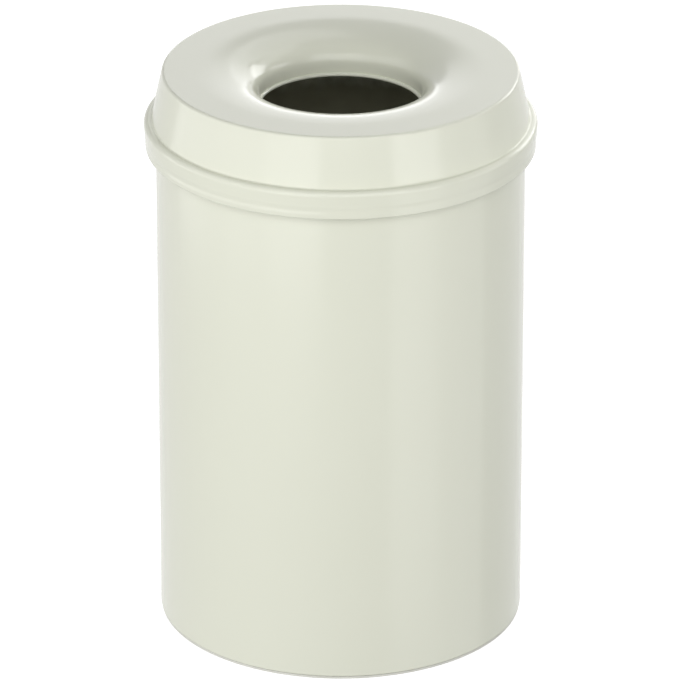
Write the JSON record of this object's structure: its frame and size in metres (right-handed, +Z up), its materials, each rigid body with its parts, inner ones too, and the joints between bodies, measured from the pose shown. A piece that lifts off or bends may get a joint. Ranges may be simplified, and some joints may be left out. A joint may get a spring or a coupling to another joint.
{
  "type": "waste bin",
  "caption": "Round steel waste bin with a lift-off funnel lid: a straight drum with a rolled rim, under a pressed lid whose narrow throat starves a paper fire.",
  "frame": {"origin": "on the floor at the axis of the drum", "axes": "+Z up along the axis of the drum, -Y the front, +Y the side with the welded seam"},
  "size_m": [0.315, 0.315, 0.47],
  "materials": {
    "drum_coat": "gloss powder coat, off-white",
    "wire_steel": "drawn wire",
    "pan_coat": "satin, warm grey",
    "ring_plastic": "moulded, fine grain",
    "lid_coat": "gloss powder coat, off-white",
    "clip_steel": "spring steel"
  },
  "bodies": {
    "bin": {"drum_shell": "drum_coat", "rim_wire": "wire_steel", "base_pan": "pan_coat", "floor_ring": "ring_plastic"},
    "lid": {"lid_shell": "lid_coat", "lid_clips": "clip_steel"}
  },
  "joints": [
    {"name": "lid_lift", "type": "slide", "parent": "bin", "child": "lid", "axis": [0, 0, 1], "range_m": [0, 0.12]}
  ]
}
